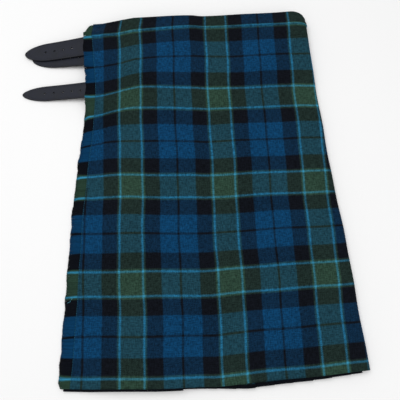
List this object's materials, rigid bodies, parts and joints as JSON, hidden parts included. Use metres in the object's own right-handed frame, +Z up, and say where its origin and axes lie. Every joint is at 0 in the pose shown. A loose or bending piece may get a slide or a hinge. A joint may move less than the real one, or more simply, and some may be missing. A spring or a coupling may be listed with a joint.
{
  "type": "scottish kilt",
  "caption": "Tartan wool kilt laid flat with its fringed over-apron on top, knife pleats beneath, and leather straps with plain buckles at the hips.",
  "frame": {"origin": "centre of the bounding box, on the surface the kilt lies on", "axes": "+X to the rounded side fold, away from the straps; +Y up the kilt from hem to waist; +Z up from the surface through the layers to the over-apron"},
  "size_m": [0.5254, 0.6128, 0.0217],
  "materials": {
    "tartan_wool": "matt twill-woven check",
    "frayed_wool": "matt frayed yarn",
    "waistband_wool": "matt twill-woven check",
    "strap_leather": "soft satin grain",
    "buckle_steel": "satin"
  },
  "bodies": {
    "root": {"over_apron": "tartan_wool", "under_apron": "tartan_wool", "pleated_back": "tartan_wool", "fringe": "frayed_wool", "waistband_front": "waistband_wool", "waistband_back": "waistband_wool", "strap_waist": "strap_leather", "strap_hip": "strap_leather", "strap_under": "strap_leather", "buckle_waist_right_frame": "buckle_steel", "buckle_waist_right_prong": "buckle_steel", "buckle_waist_right_tab": "strap_leather", "buckle_hip_right_frame": "buckle_steel", "buckle_hip_right_prong": "buckle_steel", "buckle_hip_right_tab": "strap_leather", "buckle_waist_left_frame": "buckle_steel", "buckle_waist_left_prong": "buckle_steel", "buckle_waist_left_tab": "strap_leather"}
  },
  "joints": []
}
